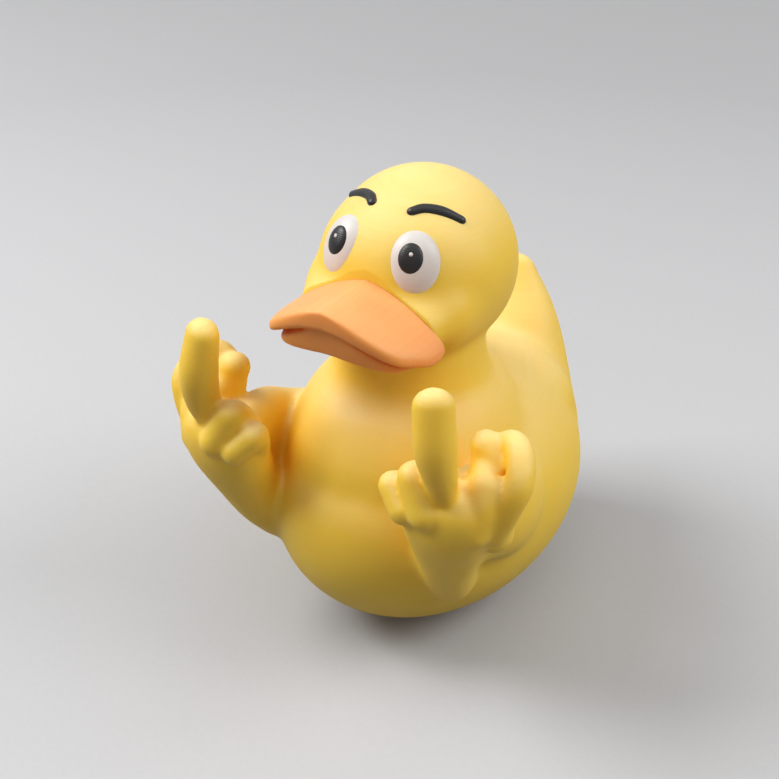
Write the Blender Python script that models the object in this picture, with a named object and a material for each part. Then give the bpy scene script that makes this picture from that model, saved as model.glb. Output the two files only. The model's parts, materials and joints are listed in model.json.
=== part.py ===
"""Rubber duck with wings that end in hands, printed solid in four colours.

Metres, +Z up. The duck faces -Y, its left side is +X, it is symmetric about X = 0,
and it stands on the flat under its body, whose middle is the origin.
"""

import math

import bmesh
import bpy
from mathutils import Matrix, Vector

# Clearance between one colour's piece and the seat that holds it
FIT_GAP = 0.0003

# Body, an egg with a small flat to stand on
BODY_WIDTH = 0.0498
BODY_LENGTH = 0.0648
BODY_HEIGHT = 0.0459
BASE_DEPTH = 0.0012

# Head, a ball with a muzzle that carries the beak
HEAD_RADIUS = 0.0154
HEAD_FORWARD = 0.0037
NECK_LENGTH = 0.0034
SHOULDER_WIDTH = 0.0390
SHOULDER_DEPTH = 0.0415
SHOULDER_RISE = 0.0147
BREAST_FORWARD = 0.0070
FACE_FORWARD = 0.0026
FACE_WIDTH = 0.0308
FACE_DEPTH = 0.0302
FACE_HEIGHT = 0.0287
MUZZLE_LENGTH = 0.0168
MUZZLE_DROP = 0.0037
CHEEK_WIDTH = 0.0300
CHEEK_HEIGHT = 0.0220

# Neck's marks: share of the way from shoulders to head, shares of the shoulders' size
NECK_MARKS = (
    (-0.24, 1.10, 1.08),
    (0.00, 1.00, 1.00),
    (0.22, 0.84, 0.84),
    (0.36, 0.68, 0.64),
    (0.60, 0.61, 0.57),
)

# Muzzle's marks: share of the way from head to seat, share of its drop, shares of the cheeks' size
MUZZLE_MARKS = (
    (0.00, 0.30, 1.01, 1.29),
    (0.45, 0.20, 1.00, 1.00),
    (0.70, 0.12, 0.97, 0.84),
    (0.88, 0.00, 0.88, 0.54),
    (1.00, 0.08, 0.83, 0.46),
)

# Beak, an arched upper bill over a lower bill that lies further back
BEAK_WIDTH = 0.0283
BEAK_LENGTH = 0.0126
BEAK_RISE = 0.0031
BEAK_ARCH = 0.0066
ARCH_POWER = 1.5
LIP_THICKNESS = 0.0028
LIP_CORNER_THICKNESS = 0.0045
LOWER_BILL_WIDTH = 0.0252
LOWER_BILL_SETBACK = 0.0010
LOWER_BILL_LEAN = 0.0008
LOWER_CORNER_THICKNESS = 0.0030
LOWER_LIP_THICKNESS = 0.0045
MOUTH_GAP = 0.0004
ROOT_THICKNESS = 0.0069
BILL_WAIST = 0.93
WAIST_SHARE = 1.6
LIP_SHARE = 1.4
FRONT_SQUARENESS = 5
FRONT_ROUNDING = 0.4
BILL_OVERLAP = 0.0020
BILL_END = 0.02
BILL_STEPS = 24

# Eye, placed on the head by its turn from straight ahead and its rise, in degrees
EYE_TURN = 25.3
EYE_RISE = 21.0
EYE_WIDTH = 0.0083
EYE_HEIGHT = 0.0103
EYE_THICKNESS = 0.0050
EYE_PROUD = 0.0008
PUPIL_WIDTH = 0.0040
PUPIL_HEIGHT = 0.0049
PUPIL_THICKNESS = 0.0018
PUPIL_PROUD = 0.0003
PUPIL_INWARD = 1.3
PUPIL_UPWARD = 3.2
GLINT_SIZE = 0.0008
GLINT_THICKNESS = 0.0008
GLINT_PROUD = 0.0001
GLINT_UPWARD = 2.2

# Eyebrow, a ridge that follows the head, as turn and rise in degrees and share of its width
BROW_MARKS = (
    (20.2, 50.6, 0.90),
    (31.0, 53.2, 1.00),
    (47.0, 51.2, 1.05),
    (61.5, 44.2, 0.85),
)
BROW_PEAK = (40.0, 53.0)
BROW_WIDTH = 0.0018
BROW_THICKNESS = 0.0016
BROW_PROUD = 0.0005

# Tail, an upswept wedge behind the body, bent back and down between root and tip,
# with haunch, middle and neck as shares of the way
TAIL_HAUNCH = 0.28
TAIL_MIDDLE = 0.50
TAIL_NECK = 0.80
TAIL_RISE = 0.0275
TAIL_REACH = 0.0307
TAIL_ROOT_REACH = 0.0097
TAIL_ROOT_WIDTH = 0.0400
TAIL_ROOT_DEPTH = 0.0340
TAIL_HAUNCH_WIDTH = 0.0384
TAIL_HAUNCH_DEPTH = 0.0284
TAIL_MIDDLE_WIDTH = 0.0290
TAIL_MIDDLE_DEPTH = 0.0212
TAIL_NECK_WIDTH = 0.0184
TAIL_NECK_DEPTH = 0.0116
TAIL_TIP_WIDTH = 0.0080
TAIL_TIP_THICKNESS = 0.0045
TAIL_BEND_BACK = 0.0045
TAIL_BEND_DOWN = 0.0030

# Rump, which fills the corner between back and tail
RUMP_WIDTH = 0.0378
RUMP_LENGTH = 0.0240
RUMP_HEIGHT = 0.0220
RUMP_REACH = 0.0160
RUMP_RISE = 0.0092

# Wing, from the flank forward into the hand, as inset from the flank, reach and rise
WING_ROOT = (0.0069, 0.0040, 0.0024)
WING_MIDDLE = (0.0034, 0.0140, 0.0074)
WING_WRIST = (0.0038, 0.0220, 0.0119)
WING_END = (0.0048, 0.0275, 0.0150)
WING_THICKNESS = 0.0110
WING_WRIST_THICKNESS = 0.0094
WING_END_THICKNESS = 0.0080
WING_ROOT_HEIGHT = 0.0186
WING_MIDDLE_HEIGHT = 0.0168
WING_WRIST_HEIGHT = 0.0166
WING_END_HEIGHT = 0.0126

# Palm's middle, as inset from the flank, reach and rise
PALM_PLACE = (0.0048, 0.0310, 0.0140)

# Limbs of the hand as joints from the palm's middle: outward, back, up, half width, half depth
FOREARM = (
    (-0.0028, 0.0095, -0.0172, 0.0034, 0.0044),
    (-0.0020, 0.0055, -0.0120, 0.0045, 0.0046),
    (-0.0010, 0.0030, -0.0065, 0.0057, 0.0050),
    (0.0000, 0.0002, 0.0000, 0.0074, 0.0053),
    (0.0003, -0.0004, 0.0034, 0.0080, 0.0051),
)
MIDDLE_FINGER = (
    (0.0012, 0.0000, 0.0000, 0.0016, 0.0016),
    (0.0012, -0.0019, 0.0054, 0.0020, 0.0021),
    (0.0013, -0.0038, 0.0104, 0.0028, 0.0029),
    (0.0009, -0.0047, 0.0160, 0.0032, 0.0031),
    (0.0001, -0.0041, 0.0226, 0.0031, 0.0026),
)
RING_FINGER = (
    (-0.0010, -0.0042, 0.0040, 0.0026, 0.0026),
    (-0.0035, -0.0032, 0.0090, 0.0025, 0.0025),
)
RING_TIP = (
    (-0.0033, -0.0020, 0.0086, 0.0025, 0.0025),
    (-0.0028, 0.0006, 0.0058, 0.0025, 0.0025),
)
LITTLE_FINGER = (
    (-0.0047, -0.0040, 0.0032, 0.0023, 0.0023),
    (-0.0074, -0.0027, 0.0060, 0.0022, 0.0022),
)
LITTLE_TIP = (
    (-0.0070, -0.0016, 0.0056, 0.0022, 0.0022),
    (-0.0058, 0.0004, 0.0026, 0.0021, 0.0021),
)
FOREFINGER = (
    (0.0052, -0.0008, 0.0014, 0.0029, 0.0029),
    (0.0058, 0.0005, 0.0046, 0.0031, 0.0031),
    (0.0058, 0.0020, 0.0070, 0.0030, 0.0030),
)
FORE_TIP = (
    (0.0060, 0.0062, 0.0092, 0.0021, 0.0021),
    (0.0030, 0.0069, 0.0110, 0.0026, 0.0026),
)
THUMB_BASE = (
    (0.0056, 0.0055, -0.0030, 0.0030, 0.0030),
    (0.0058, 0.0062, 0.0040, 0.0029, 0.0029),
    (0.0050, 0.0076, 0.0096, 0.0022, 0.0022),
)
THUMB = (
    (0.0074, 0.0018, 0.0000, 0.0021, 0.0021),
    (0.0094, 0.0020, 0.0054, 0.0022, 0.0022),
    (0.0104, 0.0032, 0.0089, 0.0022, 0.0022),
    (0.0090, 0.0060, 0.0118, 0.0022, 0.0022),
    (0.0068, 0.0078, 0.0123, 0.0021, 0.0021),
    (0.0050, 0.0082, 0.0108, 0.0020, 0.0020),
)
CURLED = (RING_FINGER, RING_TIP, LITTLE_FINGER, LITTLE_TIP, FOREFINGER, FORE_TIP, THUMB_BASE, THUMB)

# Blocks that cut the flats
FLOOR_CUT = 0.02
FLOOR_CUT_WIDTH = 0.06
CUT_MARGIN = 1.1

# Fineness of the blended skins, their smoothing passes and their triangles
TRUNK_VOXEL = 0.0010
TRUNK_PASSES = 12
HAND_VOXEL = 0.0006
HAND_PASSES = 3
BEAK_VOXEL = 0.0004
BEAK_PASSES = 3
EYE_SEGMENTS = 20
BODY_TRIANGLES = 5500
BEAK_TRIANGLES = 1200

OUTWARD = (1.0, 0.0)
FINGER_ACROSS = (0.85, 0.52)
BODY_CENTRE = Vector((0, 0, BODY_HEIGHT / 2 - BASE_DEPTH))
HEAD_CENTRE = BODY_CENTRE + Vector((0, -HEAD_FORWARD, BODY_HEIGHT / 2 + NECK_LENGTH + HEAD_RADIUS))
BEAK_SEAT = HEAD_CENTRE + Vector((0, -MUZZLE_LENGTH, -MUZZLE_DROP))


def clear_scene():
    for obj in list(bpy.data.objects):
        bpy.data.objects.remove(obj, do_unlink=True)


def material(name, colour, roughness):
    """Plain coloured plastic."""
    finish = bpy.data.materials.new(name)
    finish.use_nodes = True
    shader = finish.node_tree.nodes["Principled BSDF"]
    shader.inputs["Base Color"].default_value = (*colour, 1.0)
    shader.inputs["Roughness"].default_value = roughness
    shader.inputs["Metallic"].default_value = 0.0
    return finish


def object_from(bm, name):
    """Turn a bmesh into an object of the scene."""
    bmesh.ops.recalc_face_normals(bm, faces=bm.faces)
    mesh = bpy.data.meshes.new(name)
    bm.to_mesh(mesh)
    bm.free()
    obj = bpy.data.objects.new(name, mesh)
    bpy.context.scene.collection.objects.link(obj)
    return obj


def bake(obj):
    """Apply an object's modifiers."""
    bpy.context.view_layer.update()
    evaluated = obj.evaluated_get(bpy.context.evaluated_depsgraph_get())
    mesh = bpy.data.meshes.new_from_object(evaluated)
    obj.modifiers.clear()
    obj.data = mesh


def blend(obj, voxel, passes):
    """Fuse an object's overlapping bodies into one skin with soft creases."""
    remesh = obj.modifiers.new("fuse", "REMESH")
    remesh.mode = "VOXEL"
    remesh.voxel_size = voxel
    smooth = obj.modifiers.new("soften", "SMOOTH")
    smooth.factor = 0.5
    smooth.iterations = passes
    bake(obj)


def thin_out(obj, triangles):
    """Reduce a skin to about the given number of triangles."""
    obj.data.calc_loop_triangles()
    thin = obj.modifiers.new("thin", "DECIMATE")
    thin.ratio = min(1.0, triangles / len(obj.data.loop_triangles))
    thin.use_collapse_triangulate = True
    bake(obj)


def cut(obj, cutter):
    """Take the cutter out of the object and remove the cutter."""
    boolean = obj.modifiers.new("cut", "BOOLEAN")
    boolean.operation = "DIFFERENCE"
    boolean.solver = "EXACT"
    boolean.object = cutter
    bake(obj)
    bpy.data.objects.remove(cutter, do_unlink=True)


def ellipsoid(bm, centre, size, turn=None, segments=32, rings=16):
    """Ellipsoid of full size along its own axes."""
    matrix = Matrix.Translation(centre)
    if turn is not None:
        matrix = matrix @ turn
    matrix = matrix @ Matrix.Diagonal((*(Vector(size) / 2), 1.0))
    bmesh.ops.create_uvsphere(bm, u_segments=segments, v_segments=rings, radius=1.0, matrix=matrix)


def block(centre, size, name):
    """Plain box, used as a cutter."""
    bm = bmesh.new()
    bmesh.ops.create_cube(bm, size=1.0, matrix=Matrix.Translation(centre) @ Matrix.Diagonal((*size, 1.0)))
    return object_from(bm, name)


def curve_value(t, before, start, end, after):
    """Value between start and end on a Catmull-Rom curve."""
    square = 2 * before - 5 * start + 4 * end - after
    cube = 3 * start - before - 3 * end + after
    return 0.5 * (2 * start + (end - before) * t + square * t ** 2 + cube * t ** 3)


def spline(joints, steps):
    """Catmull-Rom curve through joints of any number of values."""
    first = [2 * a - b for a, b in zip(joints[0], joints[1])]
    last = [2 * a - b for a, b in zip(joints[-1], joints[-2])]
    points = [first, *joints, last]
    curve = []
    for i in range(1, len(points) - 2):
        before, start, end, after = points[i - 1:i + 3]
        for step in range(steps):
            t = step / steps
            curve.append([curve_value(t, *values) for values in zip(before, start, end, after)])
    curve.append(list(joints[-1]))
    return curve


def skin_rings(bm, rings):
    """Join rings of points into a closed body with flat ends."""
    loops = [[bm.verts.new(point) for point in ring] for ring in rings]
    count = len(loops[0])
    for near, far in zip(loops, loops[1:]):
        for i in range(count):
            j = (i + 1) % count
            bm.faces.new((near[i], near[j], far[j], far[i]))
    bm.faces.new(list(reversed(loops[0])))
    bm.faces.new(loops[-1])


def limb(bm, joints, side, steps=6, sides=20, cap_rings=5):
    """Round-ended tube through joints given as centre, half width and half depth.

    The half width is measured along side, as far as it is square to the tube.
    """
    flat = [(*centre, wide, deep) for centre, wide, deep in joints]
    path = spline(flat, steps)
    centres = [Vector(point[:3]) for point in path]
    frames = []
    for i, centre in enumerate(centres):
        ahead = (centres[min(i + 1, len(path) - 1)] - centres[max(i - 1, 0)]).normalized()
        across = (side - side.dot(ahead) * ahead).normalized()
        frames.append((centre, ahead, across, ahead.cross(across), path[i][3], path[i][4]))
    stations = []
    for k in range(cap_rings, 0, -1):
        stations.append((frames[0], -math.sin(0.5 * math.pi * k / (cap_rings + 0.5)), k))
    stations += [(frame, 0.0, 0) for frame in frames]
    for k in range(1, cap_rings + 1):
        stations.append((frames[-1], math.sin(0.5 * math.pi * k / (cap_rings + 0.5)), k))
    rings = []
    for (centre, ahead, across, through, wide, deep), push, k in stations:
        shrink = math.cos(0.5 * math.pi * k / (cap_rings + 0.5))
        middle = centre + ahead * push * min(wide, deep)
        turns = [2 * math.pi * n / sides for n in range(sides)]
        rings.append([
            middle + across * wide * shrink * math.cos(a) + through * deep * shrink * math.sin(a) for a in turns
        ])
    skin_rings(bm, rings)


def on_head(turn, rise, distance):
    """Point at a distance from the head's centre, with its outward direction."""
    turn = math.radians(turn)
    rise = math.radians(rise)
    outward = Vector((math.sin(turn) * math.cos(rise), -math.cos(turn) * math.cos(rise), math.sin(rise)))
    return HEAD_CENTRE + outward * distance, outward


def face_reach(outward):
    """Distance from the head's centre to the face's surface in a direction."""
    half = (FACE_WIDTH / 2, FACE_DEPTH / 2, FACE_HEIGHT / 2)
    middle = (0.0, -FACE_FORWARD, 0.0)
    square = sum((along / size) ** 2 for along, size in zip(outward, half))
    cross = sum(along * shift / size ** 2 for along, shift, size in zip(outward, middle, half))
    rest = sum((shift / size) ** 2 for shift, size in zip(middle, half)) - 1
    return (cross + math.sqrt(cross ** 2 - square * rest)) / square


def facing(outward):
    """Rotation whose Z axis looks outward and whose Y axis stays upright."""
    across = Vector((0, 0, 1)).cross(outward).normalized()
    upward = outward.cross(across)
    return Matrix((across, upward, outward)).transposed().to_4x4()


def add_trunk(bm):
    """Egg of the body, ball of the head, neck, breast and muzzle."""
    ellipsoid(bm, BODY_CENTRE, (BODY_WIDTH, BODY_LENGTH, BODY_HEIGHT), segments=64, rings=32)
    ellipsoid(bm, HEAD_CENTRE, (2 * HEAD_RADIUS,) * 3, segments=64, rings=32)
    face = HEAD_CENTRE + Vector((0, -FACE_FORWARD, 0))
    ellipsoid(bm, face, (FACE_WIDTH, FACE_DEPTH, FACE_HEIGHT), segments=64, rings=32)
    side = Vector((1, 0, 0))
    neck = HEAD_CENTRE + Vector((0, HEAD_FORWARD - BREAST_FORWARD, 0))
    shoulders = BODY_CENTRE + Vector((0, -BREAST_FORWARD, SHOULDER_RISE))
    limb(bm, [
        (shoulders.lerp(neck, way), SHOULDER_WIDTH / 2 * wide, SHOULDER_DEPTH / 2 * deep)
        for way, wide, deep in NECK_MARKS
    ], side)
    level = Vector((0, 0, -MUZZLE_DROP))
    limb(bm, [
        (HEAD_CENTRE.lerp(BEAK_SEAT, way) + level * drop, CHEEK_WIDTH / 2 * wide, CHEEK_HEIGHT / 2 * high)
        for way, drop, wide, high in MUZZLE_MARKS
    ], side)


def add_tail(bm):
    """Upswept tail, and the rump that carries it out of the back."""
    root = BODY_CENTRE + Vector((0, TAIL_ROOT_REACH, 0))
    tip = BODY_CENTRE + Vector((0, TAIL_REACH, TAIL_RISE))
    bend = Vector((0, TAIL_BEND_BACK, -TAIL_BEND_DOWN))
    limb(bm, [
        (root, TAIL_ROOT_WIDTH / 2, TAIL_ROOT_DEPTH / 2),
        (root.lerp(tip, TAIL_HAUNCH) + bend * 0.8, TAIL_HAUNCH_WIDTH / 2, TAIL_HAUNCH_DEPTH / 2),
        (root.lerp(tip, TAIL_MIDDLE) + bend, TAIL_MIDDLE_WIDTH / 2, TAIL_MIDDLE_DEPTH / 2),
        (root.lerp(tip, TAIL_NECK) + bend * 0.5, TAIL_NECK_WIDTH / 2, TAIL_NECK_DEPTH / 2),
        (tip, TAIL_TIP_WIDTH / 2, TAIL_TIP_THICKNESS / 2),
    ], Vector((1, 0, 0)))
    rump = BODY_CENTRE + Vector((0, RUMP_REACH, RUMP_RISE))
    ellipsoid(bm, rump, (RUMP_WIDTH, RUMP_LENGTH, RUMP_HEIGHT), segments=64, rings=32)


def by_flank(side, spot):
    """Point given as inset from the flank, reach to the front and rise from the middle."""
    inset, reach, rise = spot
    return BODY_CENTRE + Vector((side * (BODY_WIDTH / 2 - inset), -reach, rise))


def add_wing(bm, side):
    """Wing from the flank forward to the back of the hand."""
    limb(bm, [
        (by_flank(side, WING_ROOT), WING_THICKNESS / 2, WING_ROOT_HEIGHT / 2),
        (by_flank(side, WING_MIDDLE), WING_THICKNESS / 2, WING_MIDDLE_HEIGHT / 2),
        (by_flank(side, WING_WRIST), WING_WRIST_THICKNESS / 2, WING_WRIST_HEIGHT / 2),
        (by_flank(side, WING_END), WING_END_THICKNESS / 2, WING_END_HEIGHT / 2),
    ], Vector((side, 0, 0)))


def hand_limb(bm, side, joints, across):
    """Limb of the hand through joints given from the palm's middle."""
    palm = by_flank(side, PALM_PLACE)
    limb(bm, [
        (palm + Vector((side * outward, back, up)), wide, deep) for outward, back, up, wide, deep in joints
    ], Vector((side * across[0], across[1], 0)))


def add_hand(bm, side):
    """Fist with its middle finger up, its curled fingers turned to the duck."""
    hand_limb(bm, side, MIDDLE_FINGER, FINGER_ACROSS)
    for finger in CURLED:
        hand_limb(bm, side, finger, OUTWARD)


def duck_body(trunk_voxel, trunk_passes, hand_voxel, hand_passes):
    """Whole yellow part as one skin, before its flats and seats are cut."""
    trunk = bmesh.new()
    add_trunk(trunk)
    add_tail(trunk)
    for side in (-1, 1):
        add_wing(trunk, side)
        hand_limb(trunk, side, FOREARM, OUTWARD)
    body = object_from(trunk, "body")
    blend(body, trunk_voxel, trunk_passes)
    whole = bmesh.new()
    whole.from_mesh(body.data)
    bpy.data.objects.remove(body, do_unlink=True)
    for side in (-1, 1):
        add_hand(whole, side)
    body = object_from(whole, "body")
    blend(body, hand_voxel, hand_passes)
    return body


def cut_flats(body):
    """Cut the flat that the duck stands on and the flat that the beak sits on."""
    cut(body, block((0, 0, -FLOOR_CUT / 2), (FLOOR_CUT_WIDTH, FLOOR_CUT_WIDTH, FLOOR_CUT), "floor"))
    seat = Vector((0, BEAK_SEAT.y - BEAK_LENGTH / 2, BEAK_SEAT.z))
    cut(body, block(seat, (BEAK_WIDTH * CUT_MARGIN, BEAK_LENGTH, CHEEK_HEIGHT), "beak_seat"))


def bill_ring(y, half_width, top, thickness, corner_thickness, lean, sides=48):
    """Ring of a bill, its top bent over the arch and its corners thicker than its middle."""
    ring = []
    for n in range(sides):
        angle = 2 * math.pi * n / sides
        x = half_width * math.cos(angle)
        out = abs(x) / (BEAK_WIDTH / 2)
        thick = thickness + (corner_thickness - thickness) * out ** 2
        bulge = math.copysign(math.sqrt(abs(math.sin(angle))), math.sin(angle))
        z = top - BEAK_ARCH * out ** ARCH_POWER + (bulge - 1) * thick / 2
        ring.append(Vector((x, y + lean * (1 - bulge) / 2, z)))
    return ring


def add_bill(bm, width, length, root, lip, lean):
    """One bill from the seat forward, its front rounded in plan.

    Root and lip each give the top, the thickness and the thickness at the corners, and
    lean is how far the underside lies behind the top.
    """
    rings = []
    for n in range(BILL_STEPS + 1):
        run = math.sin(0.5 * math.pi * n / BILL_STEPS)
        front = max((1 - run ** FRONT_SQUARENESS) ** FRONT_ROUNDING, BILL_END)
        spread = BILL_WAIST + (1 - BILL_WAIST) * math.sin(math.pi * min(1.0, run * WAIST_SHARE))
        share = min(1.0, run * LIP_SHARE)
        top, thick, corner = (a + (b - a) * share for a, b in zip(root, lip))
        y = BEAK_SEAT.y + BILL_OVERLAP - (length + BILL_OVERLAP) * run
        rings.append(bill_ring(y, width / 2 * spread * front, top, thick, corner, lean))
    skin_rings(bm, rings)


def duck_beak(voxel, passes):
    """Upper and lower bill as one skin, before its flat back is cut."""
    bm = bmesh.new()
    ridge = HEAD_CENTRE.z + BEAK_RISE
    upper = (ridge, LIP_THICKNESS, LIP_CORNER_THICKNESS)
    add_bill(bm, BEAK_WIDTH, BEAK_LENGTH, upper, upper, 0.0)
    low = ridge - LIP_THICKNESS - MOUTH_GAP
    lower_root = (low + ROOT_THICKNESS - LOWER_LIP_THICKNESS, ROOT_THICKNESS, ROOT_THICKNESS)
    lower_lip = (low, LOWER_LIP_THICKNESS, LOWER_CORNER_THICKNESS)
    length = BEAK_LENGTH - LOWER_BILL_SETBACK
    add_bill(bm, LOWER_BILL_WIDTH, length, lower_root, lower_lip, LOWER_BILL_LEAN)
    obj = object_from(bm, "beak")
    blend(obj, voxel, passes)
    return obj


def cut_beak_back(obj, gap):
    """Cut the beak's back flat, a gap in front of its seat."""
    centre = Vector((0, BEAK_SEAT.y - gap + BEAK_LENGTH / 2, BEAK_SEAT.z))
    cut(obj, block(centre, (BEAK_WIDTH * CUT_MARGIN, BEAK_LENGTH, BEAK_WIDTH), "beak_back"))


def lens(name, side, turn, rise, size, front, segments, grow=0.0):
    """Domed oval set in the head, with its front at a distance from the head's centre."""
    wide, high, thick = size
    centre, outward = on_head(side * turn, rise, front - thick / 2)
    bm = bmesh.new()
    full = (wide + 2 * grow, high + 2 * grow, thick + 2 * grow)
    ellipsoid(bm, centre, full, facing(outward), segments, segments // 2)
    return object_from(bm, name)


def brow(name, side, grow=0.0, steps=5, sides=10):
    """Ridge of an eyebrow, along the head's surface."""
    joints = []
    for turn, rise, share in BROW_MARKS:
        reach = face_reach(on_head(side * turn, rise, 1.0)[1])
        point = on_head(side * turn, rise, reach + BROW_PROUD - BROW_THICKNESS / 2)[0]
        joints.append((point, BROW_THICKNESS / 2 + grow, BROW_WIDTH * share / 2 + grow))
    turn, rise = BROW_PEAK
    bm = bmesh.new()
    limb(bm, joints, on_head(side * turn, rise, 1.0)[1], steps, sides, cap_rings=2)
    return object_from(bm, name)


def eye_layers():
    """White, pupil and glint of an eye, each with its turn, rise, size and front."""
    white_front = face_reach(on_head(EYE_TURN, EYE_RISE, 1.0)[1]) + EYE_PROUD
    pupil_front = white_front + PUPIL_PROUD
    pupil_turn = EYE_TURN - PUPIL_INWARD
    pupil_rise = EYE_RISE + PUPIL_UPWARD
    glint_rise = pupil_rise + GLINT_UPWARD
    glint_size = (GLINT_SIZE, GLINT_SIZE, GLINT_THICKNESS)
    return [
        ("eye", EYE_TURN, EYE_RISE, (EYE_WIDTH, EYE_HEIGHT, EYE_THICKNESS), white_front),
        ("pupil", pupil_turn, pupil_rise, (PUPIL_WIDTH, PUPIL_HEIGHT, PUPIL_THICKNESS), pupil_front),
        ("eye_glint", pupil_turn, glint_rise, glint_size, pupil_front + GLINT_PROUD),
    ]


def add_face(body, finishes):
    """Eyes, pupils, glints and eyebrows, each in its seat."""
    for side, word in ((1, "left"), (-1, "right")):
        holder = body
        for name, turn, rise, size, front in eye_layers():
            piece = lens(f"{name}_{word}", side, turn, rise, size, front, EYE_SEGMENTS)
            cut(holder, lens("seat", side, turn, rise, size, front, EYE_SEGMENTS, FIT_GAP))
            piece.data.materials.append(finishes[name])
            holder = piece
        ridge = brow(f"eyebrow_{word}", side)
        cut(body, brow("seat", side, FIT_GAP))
        ridge.data.materials.append(finishes["brow"])


def main():
    clear_scene()
    yellow = material("yellow_plastic", (0.88, 0.64, 0.12), 0.55)
    orange = material("orange_plastic", (0.95, 0.38, 0.12), 0.5)
    white = material("white_plastic", (0.85, 0.83, 0.82), 0.4)
    black = material("black_plastic", (0.012, 0.011, 0.012), 0.45)
    body = duck_body(TRUNK_VOXEL, TRUNK_PASSES, HAND_VOXEL, HAND_PASSES)
    thin_out(body, BODY_TRIANGLES)
    cut_flats(body)
    bill = duck_beak(BEAK_VOXEL, BEAK_PASSES)
    bill.name = "beak"
    thin_out(bill, BEAK_TRIANGLES)
    cut_beak_back(bill, FIT_GAP)
    bill.data.materials.append(orange)
    add_face(body, {"eye": white, "pupil": black, "eye_glint": white, "brow": black})
    body.data.materials.clear()
    body.data.materials.append(yellow)
    for obj in bpy.context.scene.collection.objects:
        obj.data.shade_smooth()


if __name__ == "__main__":
    main()
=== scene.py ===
"""Looks of the rubber duck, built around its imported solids.

Metres, +Z up, in the frame of the solids: the duck faces -Y and its left side is +X.
Every piece is made by the same construction as the solids, at the fineness of the real
print, and takes the place of the solid of the same name.
"""

import json
import math

import bmesh
import bpy
from mathutils import Matrix, Vector

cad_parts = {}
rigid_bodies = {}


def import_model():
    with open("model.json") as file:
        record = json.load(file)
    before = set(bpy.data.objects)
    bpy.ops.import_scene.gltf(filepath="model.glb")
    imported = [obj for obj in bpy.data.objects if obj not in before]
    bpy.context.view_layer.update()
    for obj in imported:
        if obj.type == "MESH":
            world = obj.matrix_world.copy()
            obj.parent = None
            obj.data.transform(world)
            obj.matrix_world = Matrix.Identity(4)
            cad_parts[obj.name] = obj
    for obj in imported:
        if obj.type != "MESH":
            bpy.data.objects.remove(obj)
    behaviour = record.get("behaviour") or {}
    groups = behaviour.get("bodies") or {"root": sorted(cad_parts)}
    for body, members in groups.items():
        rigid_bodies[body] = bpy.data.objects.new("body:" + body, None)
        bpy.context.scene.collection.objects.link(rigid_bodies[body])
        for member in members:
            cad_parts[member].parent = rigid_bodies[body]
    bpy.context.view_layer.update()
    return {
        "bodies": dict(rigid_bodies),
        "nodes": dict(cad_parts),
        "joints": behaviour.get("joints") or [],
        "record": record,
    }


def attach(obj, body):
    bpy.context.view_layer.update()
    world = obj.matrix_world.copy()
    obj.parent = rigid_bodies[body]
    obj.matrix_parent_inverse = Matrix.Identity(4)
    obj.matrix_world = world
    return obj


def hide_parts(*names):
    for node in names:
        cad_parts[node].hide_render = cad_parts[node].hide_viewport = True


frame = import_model()

# Body, an egg with a small flat to stand on
BODY_WIDTH = 0.0498
BODY_LENGTH = 0.0648
BODY_HEIGHT = 0.0459
BASE_DEPTH = 0.0012

# Head, a ball with a muzzle that carries the beak
HEAD_RADIUS = 0.0154
HEAD_FORWARD = 0.0037
NECK_LENGTH = 0.0034
SHOULDER_WIDTH = 0.0390
SHOULDER_DEPTH = 0.0415
SHOULDER_RISE = 0.0147
BREAST_FORWARD = 0.0070
FACE_FORWARD = 0.0026
FACE_WIDTH = 0.0308
FACE_DEPTH = 0.0302
FACE_HEIGHT = 0.0287
MUZZLE_LENGTH = 0.0168
MUZZLE_DROP = 0.0037
CHEEK_WIDTH = 0.0300
CHEEK_HEIGHT = 0.0220

# Neck's marks: share of the way from shoulders to head, shares of the shoulders' size
NECK_MARKS = (
    (-0.24, 1.10, 1.08),
    (0.00, 1.00, 1.00),
    (0.22, 0.84, 0.84),
    (0.36, 0.68, 0.64),
    (0.60, 0.61, 0.57),
)

# Muzzle's marks: share of the way from head to seat, share of its drop, shares of the cheeks' size
MUZZLE_MARKS = (
    (0.00, 0.30, 1.01, 1.29),
    (0.45, 0.20, 1.00, 1.00),
    (0.70, 0.12, 0.97, 0.84),
    (0.88, 0.00, 0.88, 0.54),
    (1.00, 0.08, 0.83, 0.46),
)

# Beak, an arched upper bill over a lower bill that lies further back
BEAK_WIDTH = 0.0283
BEAK_LENGTH = 0.0126
BEAK_RISE = 0.0031
BEAK_ARCH = 0.0066
ARCH_POWER = 1.5
LIP_THICKNESS = 0.0030
LIP_CORNER_THICKNESS = 0.0040
LOWER_BILL_WIDTH = 0.0252
LOWER_BILL_SETBACK = 0.0010
LOWER_BILL_LEAN = 0.0008
LOWER_CORNER_THICKNESS = 0.0010
LOWER_ROOT_CORNER = 0.0014
LOWER_LIP_THICKNESS = 0.0045
MOUTH_GAP = 0.0004
ROOT_THICKNESS = 0.0069
BILL_WAIST = 0.93
WAIST_SHARE = 1.6
LIP_SHARE = 1.4
FRONT_SQUARENESS = 5
FRONT_ROUNDING = 0.4
BILL_OVERLAP = 0.0020
BILL_END = 0.02
BILL_STEPS = 24

# Eye, placed on the head by its turn from straight ahead and its rise, in degrees
EYE_TURN = 25.3
EYE_RISE = 21.0
EYE_WIDTH = 0.0083
EYE_HEIGHT = 0.0103
EYE_THICKNESS = 0.0050
EYE_PROUD = 0.0008
PUPIL_WIDTH = 0.0040
PUPIL_HEIGHT = 0.0049
PUPIL_THICKNESS = 0.0018
PUPIL_PROUD = 0.0003
PUPIL_INWARD = 1.3
PUPIL_UPWARD = 3.2
GLINT_SIZE = 0.0008
GLINT_THICKNESS = 0.0008
GLINT_PROUD = 0.0001
GLINT_UPWARD = 2.2

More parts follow.
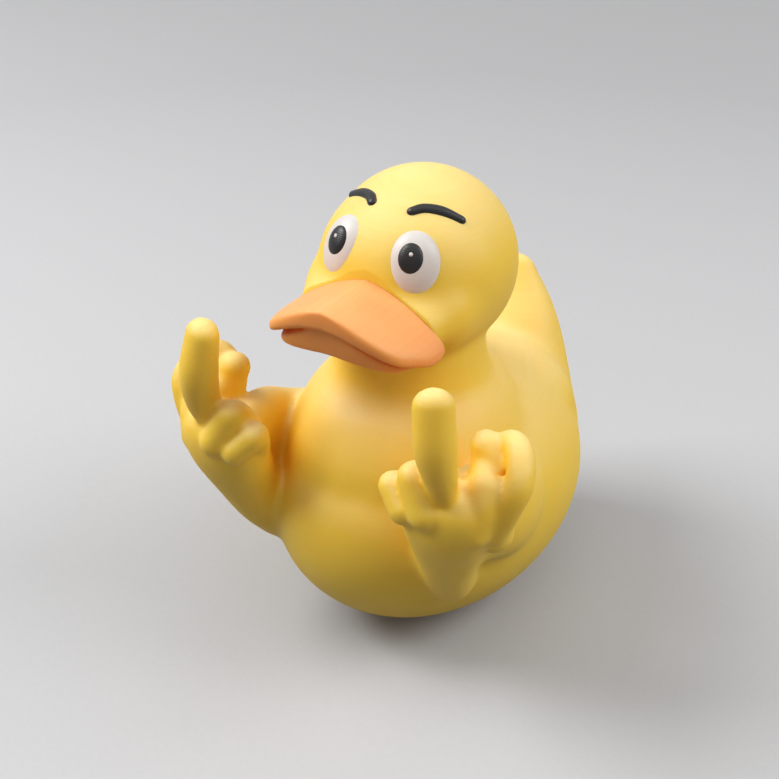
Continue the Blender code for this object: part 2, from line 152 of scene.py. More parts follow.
# Eyebrow, a ridge that follows the head, as turn and rise in degrees and share of its width
BROW_MARKS = (
    (20.2, 50.6, 0.90),
    (31.0, 53.2, 1.00),
    (47.0, 51.2, 1.05),
    (61.5, 44.2, 0.85),
)
BROW_PEAK = (40.0, 53.0)
BROW_WIDTH = 0.0018
BROW_THICKNESS = 0.0016
BROW_PROUD = 0.0005

# Tail, an upswept wedge behind the body, bent back and down between root and tip,
# with haunch, middle and neck as shares of the way
TAIL_HAUNCH = 0.28
TAIL_MIDDLE = 0.50
TAIL_NECK = 0.80
TAIL_RISE = 0.0275
TAIL_REACH = 0.0307
TAIL_ROOT_REACH = 0.0097
TAIL_ROOT_WIDTH = 0.0400
TAIL_ROOT_DEPTH = 0.0340
TAIL_HAUNCH_WIDTH = 0.0384
TAIL_HAUNCH_DEPTH = 0.0284
TAIL_MIDDLE_WIDTH = 0.0290
TAIL_MIDDLE_DEPTH = 0.0212
TAIL_NECK_WIDTH = 0.0184
TAIL_NECK_DEPTH = 0.0116
TAIL_TIP_WIDTH = 0.0080
TAIL_TIP_THICKNESS = 0.0045
TAIL_BEND_BACK = 0.0045
TAIL_BEND_DOWN = 0.0030

# Rump, which fills the corner between back and tail
RUMP_WIDTH = 0.0378
RUMP_LENGTH = 0.0240
RUMP_HEIGHT = 0.0220
RUMP_REACH = 0.0160
RUMP_RISE = 0.0092

# Wing, from the flank forward into the hand, as inset from the flank, reach and rise
WING_ROOT = (0.0069, 0.0040, 0.0024)
WING_MIDDLE = (0.0034, 0.0140, 0.0074)
WING_WRIST = (0.0038, 0.0220, 0.0119)
WING_END = (0.0048, 0.0275, 0.0150)
WING_THICKNESS = 0.0110
WING_WRIST_THICKNESS = 0.0094
WING_END_THICKNESS = 0.0080
WING_ROOT_HEIGHT = 0.0186
WING_MIDDLE_HEIGHT = 0.0168
WING_WRIST_HEIGHT = 0.0166
WING_END_HEIGHT = 0.0126

# Palm's middle, as inset from the flank, reach and rise
PALM_PLACE = (0.0048, 0.0310, 0.0140)

# Limbs of the hand as joints from the palm's middle: outward, back, up, half width, half depth
FOREARM = (
    (-0.0028, 0.0095, -0.0172, 0.0034, 0.0044),
    (-0.0020, 0.0055, -0.0120, 0.0045, 0.0046),
    (-0.0010, 0.0030, -0.0065, 0.0057, 0.0050),
    (0.0000, 0.0002, 0.0000, 0.0074, 0.0053),
    (0.0003, -0.0004, 0.0034, 0.0080, 0.0051),
)
MIDDLE_FINGER = (
    (0.0012, 0.0000, 0.0000, 0.0016, 0.0016),
    (0.0012, -0.0017, 0.0054, 0.0017, 0.0020),
    (0.0013, -0.0036, 0.0104, 0.0025, 0.0028),
    (0.0009, -0.0047, 0.0160, 0.0032, 0.0031),
    (0.0001, -0.0041, 0.0226, 0.0031, 0.0026),
)
RING_FINGER = (
    (-0.0010, -0.0042, 0.0040, 0.0026, 0.0026),
    (-0.0035, -0.0032, 0.0090, 0.0025, 0.0025),
)
RING_TIP = (
    (-0.0033, -0.0020, 0.0086, 0.0025, 0.0025),
    (-0.0028, 0.0006, 0.0058, 0.0025, 0.0025),
)
LITTLE_FINGER = (
    (-0.0047, -0.0040, 0.0032, 0.0023, 0.0023),
    (-0.0074, -0.0027, 0.0060, 0.0022, 0.0022),
)
LITTLE_TIP = (
    (-0.0070, -0.0016, 0.0056, 0.0022, 0.0022),
    (-0.0058, 0.0004, 0.0026, 0.0021, 0.0021),
)
FOREFINGER = (
    (0.0052, -0.0008, 0.0014, 0.0029, 0.0029),
    (0.0058, 0.0005, 0.0046, 0.0031, 0.0031),
    (0.0058, 0.0020, 0.0070, 0.0030, 0.0030),
)
FORE_TIP = (
    (0.0060, 0.0062, 0.0092, 0.0021, 0.0021),
    (0.0030, 0.0069, 0.0110, 0.0026, 0.0026),
)
THUMB_BASE = (
    (0.0056, 0.0055, -0.0030, 0.0030, 0.0030),
    (0.0058, 0.0062, 0.0040, 0.0029, 0.0029),
    (0.0050, 0.0076, 0.0096, 0.0022, 0.0022),
)
THUMB = (
    (0.0074, 0.0018, 0.0000, 0.0021, 0.0021),
    (0.0094, 0.0020, 0.0054, 0.0022, 0.0022),
    (0.0104, 0.0032, 0.0089, 0.0022, 0.0022),
    (0.0090, 0.0060, 0.0118, 0.0022, 0.0022),
    (0.0068, 0.0078, 0.0123, 0.0021, 0.0021),
    (0.0050, 0.0082, 0.0108, 0.0020, 0.0020),
)
THUMB_BALL = (
    (0.0040, 0.0054, 0.0038, 0.0027, 0.0027),
    (0.0037, 0.0066, 0.0093, 0.0028, 0.0028),
)
THUMB_WEB = (
    (0.0050, 0.0024, 0.0060, 0.0026, 0.0026),
    (0.0042, 0.0058, 0.0086, 0.0025, 0.0025),
)
CURLED = (
    RING_FINGER, RING_TIP, LITTLE_FINGER, LITTLE_TIP, FOREFINGER, FORE_TIP,
    THUMB_BASE, THUMB, THUMB_BALL, THUMB_WEB,
)

# Blocks that cut the flats
FLOOR_CUT = 0.02
FLOOR_CUT_WIDTH = 0.06
CUT_MARGIN = 1.1
OUTWARD = (1.0, 0.0)
FINGER_ACROSS = (0.85, 0.52)
BODY_CENTRE = Vector((0, 0, BODY_HEIGHT / 2 - BASE_DEPTH))
HEAD_CENTRE = BODY_CENTRE + Vector((0, -HEAD_FORWARD, BODY_HEIGHT / 2 + NECK_LENGTH + HEAD_RADIUS))
BEAK_SEAT = HEAD_CENTRE + Vector((0, -MUZZLE_LENGTH, -MUZZLE_DROP))


def object_from(bm, name):
    """Turn a bmesh into an object of the scene."""
    bmesh.ops.recalc_face_normals(bm, faces=bm.faces)
    mesh = bpy.data.meshes.new(name)
    bm.to_mesh(mesh)
    bm.free()
    obj = bpy.data.objects.new(name, mesh)
    bpy.context.scene.collection.objects.link(obj)
    return obj


def bake(obj):
    """Apply an object's modifiers."""
    bpy.context.view_layer.update()
    evaluated = obj.evaluated_get(bpy.context.evaluated_depsgraph_get())
    mesh = bpy.data.meshes.new_from_object(evaluated)
    obj.modifiers.clear()
    obj.data = mesh


def blend(obj, voxel, passes):
    """Fuse an object's overlapping bodies into one skin with soft creases."""
    remesh = obj.modifiers.new("fuse", "REMESH")
    remesh.mode = "VOXEL"
    remesh.voxel_size = voxel
    smooth = obj.modifiers.new("soften", "SMOOTH")
    smooth.factor = 0.5
    smooth.iterations = passes
    bake(obj)


def cut(obj, cutter):
    """Take the cutter out of the object and remove the cutter."""
    boolean = obj.modifiers.new("cut", "BOOLEAN")
    boolean.operation = "DIFFERENCE"
    boolean.solver = "EXACT"
    boolean.object = cutter
    bake(obj)
    bpy.data.objects.remove(cutter, do_unlink=True)


def ellipsoid(bm, centre, size, turn=None, segments=32, rings=16):
    """Ellipsoid of full size along its own axes."""
    matrix = Matrix.Translation(centre)
    if turn is not None:
        matrix = matrix @ turn
    matrix = matrix @ Matrix.Diagonal((*(Vector(size) / 2), 1.0))
    bmesh.ops.create_uvsphere(bm, u_segments=segments, v_segments=rings, radius=1.0, matrix=matrix)


def block(centre, size, name):
    """Plain box, used as a cutter."""
    bm = bmesh.new()
    bmesh.ops.create_cube(bm, size=1.0, matrix=Matrix.Translation(centre) @ Matrix.Diagonal((*size, 1.0)))
    return object_from(bm, name)


def curve_value(t, before, start, end, after):
    """Value between start and end on a Catmull-Rom curve."""
    square = 2 * before - 5 * start + 4 * end - after
    cube = 3 * start - before - 3 * end + after
    return 0.5 * (2 * start + (end - before) * t + square * t ** 2 + cube * t ** 3)


def spline(joints, steps):
    """Catmull-Rom curve through joints of any number of values."""
    first = [2 * a - b for a, b in zip(joints[0], joints[1])]
    last = [2 * a - b for a, b in zip(joints[-1], joints[-2])]
    points = [first, *joints, last]
    curve = []
    for i in range(1, len(points) - 2):
        before, start, end, after = points[i - 1:i + 3]
        for step in range(steps):
            t = step / steps
            curve.append([curve_value(t, *values) for values in zip(before, start, end, after)])
    curve.append(list(joints[-1]))
    return curve


def skin_rings(bm, rings):
    """Join rings of points into a closed body with flat ends."""
    loops = [[bm.verts.new(point) for point in ring] for ring in rings]
    count = len(loops[0])
    for near, far in zip(loops, loops[1:]):
        for i in range(count):
            j = (i + 1) % count
            bm.faces.new((near[i], near[j], far[j], far[i]))
    bm.faces.new(list(reversed(loops[0])))
    bm.faces.new(loops[-1])


def limb(bm, joints, side, steps=6, sides=20, cap_rings=5):
    """Round-ended tube through joints given as centre, half width and half depth.

    The half width is measured along side, as far as it is square to the tube.
    """
    flat = [(*centre, wide, deep) for centre, wide, deep in joints]
    path = spline(flat, steps)
    centres = [Vector(point[:3]) for point in path]
    frames = []
    for i, centre in enumerate(centres):
        ahead = (centres[min(i + 1, len(path) - 1)] - centres[max(i - 1, 0)]).normalized()
        across = (side - side.dot(ahead) * ahead).normalized()
        frames.append((centre, ahead, across, ahead.cross(across), path[i][3], path[i][4]))
    stations = []
    for k in range(cap_rings, 0, -1):
        stations.append((frames[0], -math.sin(0.5 * math.pi * k / (cap_rings + 0.5)), k))
    stations += [(frame, 0.0, 0) for frame in frames]
    for k in range(1, cap_rings + 1):
        stations.append((frames[-1], math.sin(0.5 * math.pi * k / (cap_rings + 0.5)), k))
    rings = []
    for (centre, ahead, across, through, wide, deep), push, k in stations:
        shrink = math.cos(0.5 * math.pi * k / (cap_rings + 0.5))
        middle = centre + ahead * push * min(wide, deep)
        turns = [2 * math.pi * n / sides for n in range(sides)]
        rings.append([
            middle + across * wide * shrink * math.cos(a) + through * deep * shrink * math.sin(a) for a in turns
        ])
    skin_rings(bm, rings)


def on_head(turn, rise, distance):
    """Point at a distance from the head's centre, with its outward direction."""
    turn = math.radians(turn)
    rise = math.radians(rise)
    outward = Vector((math.sin(turn) * math.cos(rise), -math.cos(turn) * math.cos(rise), math.sin(rise)))
    return HEAD_CENTRE + outward * distance, outward


def face_reach(outward):
    """Distance from the head's centre to the face's surface in a direction."""
    half = (FACE_WIDTH / 2, FACE_DEPTH / 2, FACE_HEIGHT / 2)
    middle = (0.0, -FACE_FORWARD, 0.0)
    square = sum((along / size) ** 2 for along, size in zip(outward, half))
    cross = sum(along * shift / size ** 2 for along, shift, size in zip(outward, middle, half))
    rest = sum((shift / size) ** 2 for shift, size in zip(middle, half)) - 1
    return (cross + math.sqrt(cross ** 2 - square * rest)) / square


def facing(outward):
    """Rotation whose Z axis looks outward and whose Y axis stays upright."""
    across = Vector((0, 0, 1)).cross(outward).normalized()
    upward = outward.cross(across)
    return Matrix((across, upward, outward)).transposed().to_4x4()


def add_trunk(bm):
    """Egg of the body, ball of the head, neck, breast and muzzle."""
    ellipsoid(bm, BODY_CENTRE, (BODY_WIDTH, BODY_LENGTH, BODY_HEIGHT), segments=64, rings=32)
    ellipsoid(bm, HEAD_CENTRE, (2 * HEAD_RADIUS,) * 3, segments=64, rings=32)
    face = HEAD_CENTRE + Vector((0, -FACE_FORWARD, 0))
    ellipsoid(bm, face, (FACE_WIDTH, FACE_DEPTH, FACE_HEIGHT), segments=64, rings=32)
    side = Vector((1, 0, 0))
    neck = HEAD_CENTRE + Vector((0, HEAD_FORWARD - BREAST_FORWARD, 0))
    shoulders = BODY_CENTRE + Vector((0, -BREAST_FORWARD, SHOULDER_RISE))
    limb(bm, [
        (shoulders.lerp(neck, way), SHOULDER_WIDTH / 2 * wide, SHOULDER_DEPTH / 2 * deep)
        for way, wide, deep in NECK_MARKS
    ], side)
    level = Vector((0, 0, -MUZZLE_DROP))
    limb(bm, [
        (HEAD_CENTRE.lerp(BEAK_SEAT, way) + level * drop, CHEEK_WIDTH / 2 * wide, CHEEK_HEIGHT / 2 * high)
        for way, drop, wide, high in MUZZLE_MARKS
    ], side)


def add_tail(bm):
    """Upswept tail, and the rump that carries it out of the back."""
    root = BODY_CENTRE + Vector((0, TAIL_ROOT_REACH, 0))
    tip = BODY_CENTRE + Vector((0, TAIL_REACH, TAIL_RISE))
    bend = Vector((0, TAIL_BEND_BACK, -TAIL_BEND_DOWN))
    limb(bm, [
        (root, TAIL_ROOT_WIDTH / 2, TAIL_ROOT_DEPTH / 2),
        (root.lerp(tip, TAIL_HAUNCH) + bend * 0.8, TAIL_HAUNCH_WIDTH / 2, TAIL_HAUNCH_DEPTH / 2),
        (root.lerp(tip, TAIL_MIDDLE) + bend, TAIL_MIDDLE_WIDTH / 2, TAIL_MIDDLE_DEPTH / 2),
        (root.lerp(tip, TAIL_NECK) + bend * 0.5, TAIL_NECK_WIDTH / 2, TAIL_NECK_DEPTH / 2),
        (tip, TAIL_TIP_WIDTH / 2, TAIL_TIP_THICKNESS / 2),
    ], Vector((1, 0, 0)))
    rump = BODY_CENTRE + Vector((0, RUMP_REACH, RUMP_RISE))
    ellipsoid(bm, rump, (RUMP_WIDTH, RUMP_LENGTH, RUMP_HEIGHT), segments=64, rings=32)


def by_flank(side, spot):
    """Point given as inset from the flank, reach to the front and rise from the middle."""
    inset, reach, rise = spot
    return BODY_CENTRE + Vector((side * (BODY_WIDTH / 2 - inset), -reach, rise))


def add_wing(bm, side):
    """Wing from the flank forward to the back of the hand."""
    limb(bm, [
        (by_flank(side, WING_ROOT), WING_THICKNESS / 2, WING_ROOT_HEIGHT / 2),
        (by_flank(side, WING_MIDDLE), WING_THICKNESS / 2, WING_MIDDLE_HEIGHT / 2),
        (by_flank(side, WING_WRIST), WING_WRIST_THICKNESS / 2, WING_WRIST_HEIGHT / 2),
        (by_flank(side, WING_END), WING_END_THICKNESS / 2, WING_END_HEIGHT / 2),
    ], Vector((side, 0, 0)))


def hand_limb(bm, side, joints, across):
    """Limb of the hand through joints given from the palm's middle."""
    palm = by_flank(side, PALM_PLACE)
    limb(bm, [
        (palm + Vector((side * outward, back, up)), wide, deep) for outward, back, up, wide, deep in joints
    ], Vector((side * across[0], across[1], 0)))


def add_hand(bm, side):
    """Fist with its middle finger up, its curled fingers turned to the duck."""
    hand_limb(bm, side, MIDDLE_FINGER, FINGER_ACROSS)
    for finger in CURLED:
        hand_limb(bm, side, finger, OUTWARD)


def duck_body(trunk_voxel, trunk_passes, hand_voxel, hand_passes):
    """Whole yellow part as one skin, before its flats and seats are cut."""
    trunk = bmesh.new()
    add_trunk(trunk)
    add_tail(trunk)
    for side in (-1, 1):
        add_wing(trunk, side)
        hand_limb(trunk, side, FOREARM, OUTWARD)
    body = object_from(trunk, "body")
    blend(body, trunk_voxel, trunk_passes)
    whole = bmesh.new()
    whole.from_mesh(body.data)
    bpy.data.objects.remove(body, do_unlink=True)
    for side in (-1, 1):
        add_hand(whole, side)
    body = object_from(whole, "body")
    blend(body, hand_voxel, hand_passes)
    return body


def cut_flats(body):
    """Cut the flat that the duck stands on and the flat that the beak sits on."""
    cut(body, block((0, 0, -FLOOR_CUT / 2), (FLOOR_CUT_WIDTH, FLOOR_CUT_WIDTH, FLOOR_CUT), "floor"))
    seat = Vector((0, BEAK_SEAT.y - BEAK_LENGTH / 2, BEAK_SEAT.z))
    cut(body, block(seat, (BEAK_WIDTH * CUT_MARGIN, BEAK_LENGTH, CHEEK_HEIGHT), "beak_seat"))


def bill_ring(y, half_width, top, thickness, corner_thickness, lean, sides=48):
    """Ring of a bill, its top bent over the arch and its corners thicker than its middle."""
    ring = []
    for n in range(sides):
        angle = 2 * math.pi * n / sides
        x = half_width * math.cos(angle)
        out = abs(x) / (BEAK_WIDTH / 2)
        thick = thickness + (corner_thickness - thickness) * out ** 2
        bulge = math.copysign(math.sqrt(abs(math.sin(angle))), math.sin(angle))
        z = top - BEAK_ARCH * out ** ARCH_POWER + (bulge - 1) * thick / 2
        ring.append(Vector((x, y + lean * (1 - bulge) / 2, z)))
    return ring


def add_bill(bm, width, length, root, lip, lean):
    """One bill from the seat forward, its front rounded in plan.

    Root and lip each give the top, the thickness and the thickness at the corners, and
    lean is how far the underside lies behind the top.
    """
    rings = []
    for n in range(BILL_STEPS + 1):
        run = math.sin(0.5 * math.pi * n / BILL_STEPS)
        front = max((1 - run ** FRONT_SQUARENESS) ** FRONT_ROUNDING, BILL_END)
        spread = BILL_WAIST + (1 - BILL_WAIST) * math.sin(math.pi * min(1.0, run * WAIST_SHARE))
        share = min(1.0, run * LIP_SHARE)
        top, thick, corner = (a + (b - a) * share for a, b in zip(root, lip))
        y = BEAK_SEAT.y + BILL_OVERLAP - (length + BILL_OVERLAP) * run
        rings.append(bill_ring(y, width / 2 * spread * front, top, thick, corner, lean))
    skin_rings(bm, rings)


def duck_beak(voxel, passes):
    """Upper and lower bill as one skin, before its flat back is cut."""
    bm = bmesh.new()
    ridge = HEAD_CENTRE.z + BEAK_RISE
    upper = (ridge, LIP_THICKNESS, LIP_CORNER_THICKNESS)
    add_bill(bm, BEAK_WIDTH, BEAK_LENGTH, upper, upper, 0.0)
    low = ridge - LIP_THICKNESS - MOUTH_GAP
    lower_root = (low + ROOT_THICKNESS - LOWER_LIP_THICKNESS, ROOT_THICKNESS, LOWER_ROOT_CORNER)
    lower_lip = (low, LOWER_LIP_THICKNESS, LOWER_CORNER_THICKNESS)
    length = BEAK_LENGTH - LOWER_BILL_SETBACK
    add_bill(bm, LOWER_BILL_WIDTH, length, lower_root, lower_lip, LOWER_BILL_LEAN)
    obj = object_from(bm, "beak")
    blend(obj, voxel, passes)
    return obj


def cut_beak_back(obj, gap):
    """Cut the beak's back flat, a gap in front of its seat."""
    centre = Vector((0, BEAK_SEAT.y - gap + BEAK_LENGTH / 2, BEAK_SEAT.z))
    cut(obj, block(centre, (BEAK_WIDTH * CUT_MARGIN, BEAK_LENGTH, BEAK_WIDTH), "beak_back"))


def lens(name, side, turn, rise, size, front, segments, grow=0.0):
    """Domed oval set in the head, with its front at a distance from the head's centre."""
    wide, high, thick = size
    centre, outward = on_head(side * turn, rise, front - thick / 2)
    bm = bmesh.new()
    full = (wide + 2 * grow, high + 2 * grow, thick + 2 * grow)
    ellipsoid(bm, centre, full, facing(outward), segments, segments // 2)
    return object_from(bm, name)


def brow(name, side, grow=0.0, steps=5, sides=10):
    """Ridge of an eyebrow, along the head's surface."""
    joints = []
    for turn, rise, share in BROW_MARKS:
        reach = face_reach(on_head(side * turn, rise, 1.0)[1])
        point = on_head(side * turn, rise, reach + BROW_PROUD - BROW_THICKNESS / 2)[0]
        joints.append((point, BROW_THICKNESS / 2 + grow, BROW_WIDTH * share / 2 + grow))
    turn, rise = BROW_PEAK
    bm = bmesh.new()
    limb(bm, joints, on_head(side * turn, rise, 1.0)[1], steps, sides, cap_rings=2)
    return object_from(bm, name)


def eye_layers():
    """White, pupil and glint of an eye, each with its turn, rise, size and front."""
    white_front = face_reach(on_head(EYE_TURN, EYE_RISE, 1.0)[1]) + EYE_PROUD
    pupil_front = white_front + PUPIL_PROUD
    pupil_turn = EYE_TURN - PUPIL_INWARD
    pupil_rise = EYE_RISE + PUPIL_UPWARD
    glint_rise = pupil_rise + GLINT_UPWARD
    glint_size = (GLINT_SIZE, GLINT_SIZE, GLINT_THICKNESS)
    return [
        ("eye", EYE_TURN, EYE_RISE, (EYE_WIDTH, EYE_HEIGHT, EYE_THICKNESS), white_front),
        ("pupil", pupil_turn, pupil_rise, (PUPIL_WIDTH, PUPIL_HEIGHT, PUPIL_THICKNESS), pupil_front),
        ("eye_glint", pupil_turn, glint_rise, glint_size, pupil_front + GLINT_PROUD),
    ]


# Looks

# Fineness of the shown skins
SKIN_VOXEL = 0.0005
SKIN_PASSES = 48
FIST_VOXEL = 0.0005
FIST_PASSES = 4
BILL_VOXEL = 0.0003
BILL_PASSES = 12
FINE_EYE_SEGMENTS = 64
FINE_BROW_STEPS = 16
FINE_BROW_SIDES = 32

# Height of one printed layer, and how far the lines of a layer wander
LAYER_HEIGHT = 0.00026
LAYER_WANDER = 0.00007

# How near a surface counts as sheltering for the painted shade, and how far light travels inside the plastic
SHELTER_REACH = 0.008
GLOW_REACH = 0.003

# Openness of a place that is fully sheltered and takes the full painted shade, and of one that is open and takes
# none
SHELTERED = (0.30, 0.82)

# Pointiness of a sharp crease, which takes the full painted shade, and of a hollow too shallow to count as one
CREASE = (0.44, 0.488)

# Upward part of the outward direction from which a surface starts to count as a top and takes the painted
# highlight
TOP_START = 0.30

# Light of the sky, tone of the backdrop, and where the floor starts and ends fading to it
SKY_LIGHT = 0.27
BACKDROP_TONE = 0.62
FADE_START = 0.3
FADE_END = 1.6

# Camera, from the photograph: its turn from straight ahead, rise and distance
CAMERA_TURN = 31.5
CAMERA_RISE = 30.0
CAMERA_DISTANCE = 0.210
CAMERA_AIM = Vector((0.00708, -0.02535, 0.0522))
CAMERA_LENS = 64.7
SENSOR_WIDTH = 36.0

# Colours of the plastics. The pale yellow, the pale orange, the cooler white and the lighter black are painted
# highlights, laid on the tops
YELLOW = (0.94, 0.62, 0.06)
TOP_HIGHLIGHT_YELLOW = (0.94, 0.72, 0.29)
# The gold, the deep orange and the pinker shaded white are painted shade in creases and sheltered places, with
# reflected warm light, and also the tone of faint random patches
BAND_AND_SHADE_GOLD = (0.90, 0.50, 0.02)
ORANGE = (0.94, 0.37, 0.09)
TOP_HIGHLIGHT_ORANGE = (0.95, 0.47, 0.18)
BAND_AND_SHADE_ORANGE = (0.84, 0.20, 0.03)
TOP_LIT_WHITE = (0.66, 0.65, 0.64)
WARM_WHITE = (0.72, 0.65, 0.61)
SHADED_WHITE = (0.82, 0.66, 0.54)
BLACK = (0.006, 0.005, 0.005)
TOP_HIGHLIGHT_BLACK = (0.03, 0.028, 0.028)


class Graph:
    """Short way to add and join the nodes of one material."""

    def __init__(self, name):
        self.material = bpy.data.materials.new(name)
        self.material.use_nodes = True
        self.tree = self.material.node_tree
        self.shader = self.tree.nodes["Principled BSDF"]

    def add(self, kind, inputs=None, **settings):
        """Node of a kind, with its inputs given as values or as other nodes' outputs."""
        node = self.tree.nodes.new(kind)
        for name, value in settings.items():
            setattr(node, name, value)
        for name, value in (inputs or {}).items():
            if isinstance(value, bpy.types.NodeSocket):
                self.tree.links.new(value, node.inputs[name])
            else:
                node.inputs[name].default_value = value
        return node

    def maths(self, operation, first, second=0.0):
        return self.add("ShaderNodeMath", {0: first, 1: second}, operation=operation).outputs[0]

    def noise(self, place, scale, detail=2.0, roughness=0.5):
        inputs = {"Vector": place, "Scale": scale, "Detail": detail, "Roughness": roughness}
        return self.add("ShaderNodeTexNoise", inputs).outputs["Fac"]

    def spread(self, value, low, high, new_low, new_high):
        """Value moved from one range to another and held inside it."""
        inputs = {"Value": value, "From Min": low, "From Max": high, "To Min": new_low, "To Max": new_high}
        return self.add("ShaderNodeMapRange", inputs, clamp=True).outputs["Result"]

    def mixed(self, share, first, second):
        """Colour between two, each given as a colour or as another node's output."""
        node = self.add("ShaderNodeMix", data_type="RGBA")
        self.tree.links.new(share, node.inputs["Factor"])
        for place, colour in ((6, first), (7, second)):
            if isinstance(colour, bpy.types.NodeSocket):
                self.tree.links.new(colour, node.inputs[place])
            else:
                node.inputs[place].default_value = (*colour, 1.0)
        return node.outputs[2]


def printed_plastic(name, tones, roughness, gloss, relief, painted_shade_share, glow=0.0):
    """Printed plastic: fine level layers, faint bands of tone and a soft grain.

    Its tones are deep, plain and pale. The pale tone is a painted highlight on the tops,
    where light from above falls. The deep tone is painted shade, by the given share, where
    other surfaces stand close round it and in creases, warm as light passing from one surface
    to the other would make it; it also gives faint random patches. Glow is how far it lets light in.
    """
    deep, plain, pale = tones
    graph = Graph(name)
    place = graph.add("ShaderNodeTexCoord").outputs["Object"]
    height = graph.add("ShaderNodeSeparateXYZ", {"Vector": place}).outputs["Z"]
    wander = graph.spread(graph.noise(place, 120.0), 0.3, 0.7, -LAYER_WANDER, LAYER_WANDER)
    level = graph.maths("ADD", height, wander)
    wave = graph.maths("SINE", graph.maths("MULTIPLY", level, 2 * math.pi / LAYER_HEIGHT))
    strength = graph.spread(graph.noise(place, 160.0), 0.35, 0.7, 0.25, 1.0)
    surface = graph.add("ShaderNodeNewGeometry").outputs
    upward = graph.add("ShaderNodeSeparateXYZ", {"Vector": surface["Normal"]}).outputs["Z"]
    steepness = graph.spread(graph.maths("ABSOLUTE", upward), 0.55, 0.9, 1.0, 0.15)
    layers = graph.maths("MULTIPLY", graph.maths("MULTIPLY", wave, strength), steepness)
    stretched = graph.add("ShaderNodeMapping", {"Vector": place, "Scale": (60.0, 60.0, 2600.0)})
    streaks = graph.noise(stretched.outputs["Vector"], 1.0, 3.0, 0.6)
    grain = graph.noise(place, 5200.0, 3.0, 0.6)
    relief_sum = graph.maths("ADD", layers, graph.maths("MULTIPLY", streaks, 1.6))
    relief_sum = graph.maths("ADD", relief_sum, graph.maths("MULTIPLY", grain, 0.7))
    bump = graph.add("ShaderNodeBump", {"Height": relief_sum, "Strength": relief, "Distance": 0.00004})
    tone = graph.noise(place, 55.0, 3.0, 0.55)
    bands = graph.maths("MULTIPLY", streaks, 0.35)
    patchy = graph.spread(graph.maths("ADD", tone, bands), 0.45, 1.0, 0.0, 0.4)
    # Painted shade: the share of the deep tone grows where other surfaces stand close round and in creases, over
    # the random patches
    openness = graph.add("ShaderNodeAmbientOcclusion", {"Distance": SHELTER_REACH}, samples=8).outputs["AO"]
    share = graph.maths("MAXIMUM", patchy, graph.spread(openness, *SHELTERED, painted_shade_share, 0.0))
    share = graph.maths("MAXIMUM", share, graph.spread(surface["Pointiness"], *CREASE, painted_shade_share, 0.0))
    # Painted highlight: surfaces that face up are mixed towards the pale tone
    painted_top_highlight = graph.mixed(graph.spread(upward, TOP_START, 1.0, 0.0, 1.0), plain, pale)
    graph.tree.links.new(graph.mixed(share, painted_top_highlight, deep), graph.shader.inputs["Base Color"])
    rough = graph.spread(streaks, 0.3, 0.7, roughness - 0.05, roughness + 0.06)
    graph.tree.links.new(rough, graph.shader.inputs["Roughness"])
    graph.tree.links.new(bump.outputs["Normal"], graph.shader.inputs["Normal"])
    graph.shader.inputs["Specular IOR Level"].default_value = gloss
    if glow:
        graph.shader.inputs["Subsurface Weight"].default_value = glow
        graph.shader.inputs["Subsurface Radius"].default_value = (1.0, 0.5, 0.12)
        graph.shader.inputs["Subsurface Scale"].default_value = GLOW_REACH
    return graph.material


def take_place(obj, node, finish, slot):
    """Let a fine piece stand for the solid of its name."""
    obj.name = f"{node}_shown"
    obj.data.materials.clear()
    obj.data.materials.append(finish)
    obj.data.shade_smooth()
    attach(obj, "root")
    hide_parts(node)


def fine_body():
    body = duck_body(SKIN_VOXEL, SKIN_PASSES, FIST_VOXEL, FIST_PASSES)
    cut_flats(body)
    return body


def fine_beak():
    beak = duck_beak(BILL_VOXEL, BILL_PASSES)
    cut_beak_back(beak, 0.0)
    return beak


def seen_directly(tree):
    """Whether a surface is looked at, straight or by way of gloss or glass."""
    seen = tree.nodes.new("ShaderNodeLightPath").outputs
    share = seen["Is Camera Ray"]
    for other in ("Is Glossy Ray", "Is Transmission Ray"):
        larger = tree.nodes.new("ShaderNodeMath")
        larger.operation = "MAXIMUM"
        tree.links.new(share, larger.inputs[0])
        tree.links.new(seen[other], larger.inputs[1])
        share = larger.outputs[0]
    return share


def studio():
    """Pale floor that throws little light back, fading into a pale backdrop far off.

    The sky gives soft light from all round above. What is looked at directly is paler
    than what lights the duck.
    """
    floor_finish = Graph("studio_floor")
    place = floor_finish.add("ShaderNodeTexCoord").outputs["Object"]
    pale = floor_finish.mixed(floor_finish.noise(place, 900.0, 4.0, 0.6), (0.50, 0.50, 0.51), (0.54, 0.54, 0.55))
    directly = seen_directly(floor_finish.tree)
    floor_finish.tree.links.new(
        floor_finish.mixed(directly, (0.12, 0.12, 0.12), pale),
        floor_finish.shader.inputs["Base Color"],
    )
    floor_finish.shader.inputs["Roughness"].default_value = 0.8
    far = floor_finish.add("ShaderNodeVectorMath", {0: place}, operation="LENGTH").outputs["Value"]
    fade = floor_finish.spread(far, FADE_START, FADE_END, 0.0, BACKDROP_TONE)
    floor_finish.tree.links.new(
        floor_finish.maths("MULTIPLY", directly, fade),
        floor_finish.shader.inputs["Emission Strength"],
    )
    floor_finish.shader.inputs["Emission Color"].default_value = (1.0, 1.0, 1.0, 1.0)
    bm = bmesh.new()
    bmesh.ops.create_circle(bm, cap_ends=True, segments=96, radius=4.0)
    floor = object_from(bm, "studio_floor")
    floor.data.materials.append(floor_finish.material)
    world = bpy.data.worlds.new("studio")
    world.use_nodes = True
    sky = world.node_tree.nodes["Background"]
    sky.inputs["Color"].default_value = (1.0, 1.0, 1.0, 1.0)
    strength = world.node_tree.nodes.new("ShaderNodeMapRange")
    strength.inputs["To Min"].default_value = SKY_LIGHT
    strength.inputs["To Max"].default_value = BACKDROP_TONE
    world.node_tree.links.new(seen_directly(world.node_tree), strength.inputs["Value"])
    world.node_tree.links.new(strength.outputs["Result"], sky.inputs["Strength"])
    bpy.context.scene.world = world


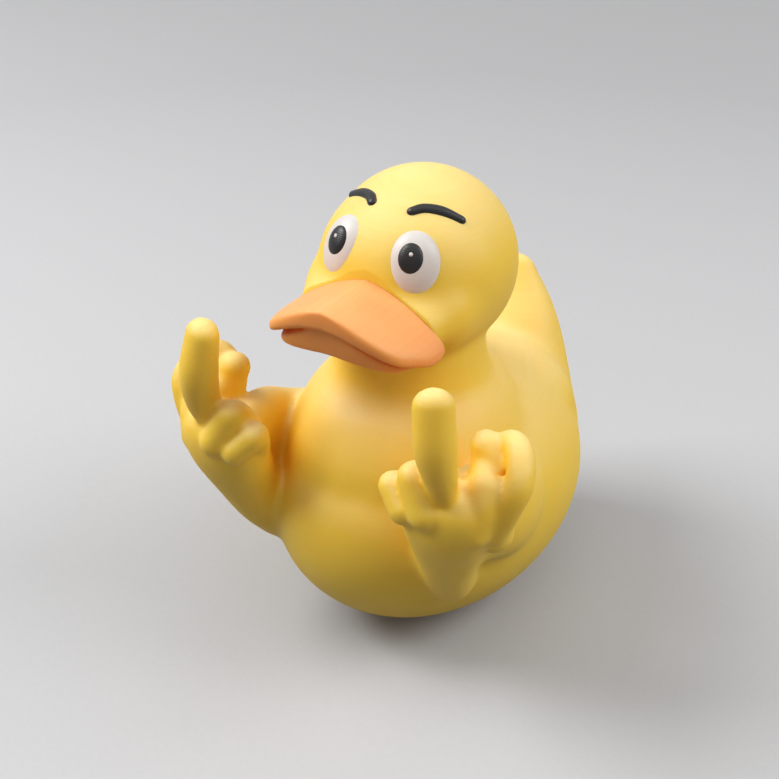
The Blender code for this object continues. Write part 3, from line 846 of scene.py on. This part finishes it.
def lamp(name, turn, rise, distance, size, power):
    """Square soft lamp aimed at the duck, placed as the camera is."""
    data = bpy.data.lights.new(name, "AREA")
    data.shape = "SQUARE"
    data.size = size
    data.energy = power
    obj = bpy.data.objects.new(name, data)
    bpy.context.scene.collection.objects.link(obj)
    aim(obj, turn, rise, distance, Vector((0, 0, 0.04)))


def aim(obj, turn, rise, distance, target):
    """Put an object at a turn and rise round a target and point it there."""
    turn = math.radians(turn)
    rise = math.radians(rise)
    away = Vector((math.sin(turn) * math.cos(rise), -math.cos(turn) * math.cos(rise), math.sin(rise)))
    obj.location = target + away * distance
    obj.rotation_euler = (-away).to_track_quat("-Z", "Y").to_euler()


def camera():
    data = bpy.data.cameras.new("camera")
    data.lens = CAMERA_LENS
    data.sensor_width = SENSOR_WIDTH
    data.clip_start = 0.005
    obj = bpy.data.objects.new("camera", data)
    bpy.context.scene.collection.objects.link(obj)
    aim(obj, CAMERA_TURN, CAMERA_RISE, CAMERA_DISTANCE, CAMERA_AIM)
    bpy.context.scene.camera = obj


def dress():
    # Each plastic gets painted shade in its deep tone in sheltered places and creases, by the fifth value, and
    # painted highlights in its pale tone on the tops
    yellow = printed_plastic("yellow_print", (BAND_AND_SHADE_GOLD, YELLOW, TOP_HIGHLIGHT_YELLOW), 0.55, 0.45, 0.28, 0.9, 0.3)
    orange = printed_plastic("orange_print", (BAND_AND_SHADE_ORANGE, ORANGE, TOP_HIGHLIGHT_ORANGE), 0.50, 0.35, 0.3, 0.8, 0.2)
    white = printed_plastic("white_print", (SHADED_WHITE, WARM_WHITE, TOP_LIT_WHITE), 0.40, 0.5, 0.12, 0.6)
    black = printed_plastic("black_print", (BLACK, BLACK, TOP_HIGHLIGHT_BLACK), 0.38, 0.4, 0.3, 0.0)
    take_place(fine_body(), "body", yellow, "yellow_plastic")
    take_place(fine_beak(), "beak", orange, "orange_plastic")
    finishes = {"eye": (white, "white_plastic"), "pupil": (black, "black_plastic")}
    finishes["eye_glint"] = finishes["eye"]
    for side, word in ((1, "left"), (-1, "right")):
        for name, turn, rise, size, front in eye_layers():
            piece = lens(name, side, turn, rise, size, front, FINE_EYE_SEGMENTS)
            take_place(piece, f"{name}_{word}", *finishes[name])
        ridge = brow("brow", side, 0.0, FINE_BROW_STEPS, FINE_BROW_SIDES)
        take_place(ridge, f"eyebrow_{word}", black, "black_plastic")


dress()
studio()
lamp("key", 40.0, 72.0, 0.6, 0.5, 0.55)
lamp("left_side", -65.0, 46.0, 0.6, 0.35, 3.5)
lamp("right_side", 110.0, 38.0, 0.6, 0.35, 2.0)
lamp("fill", 20.0, 25.0, 0.8, 0.5, 0.15)
camera()
bpy.context.scene.view_settings.view_transform = "Standard"
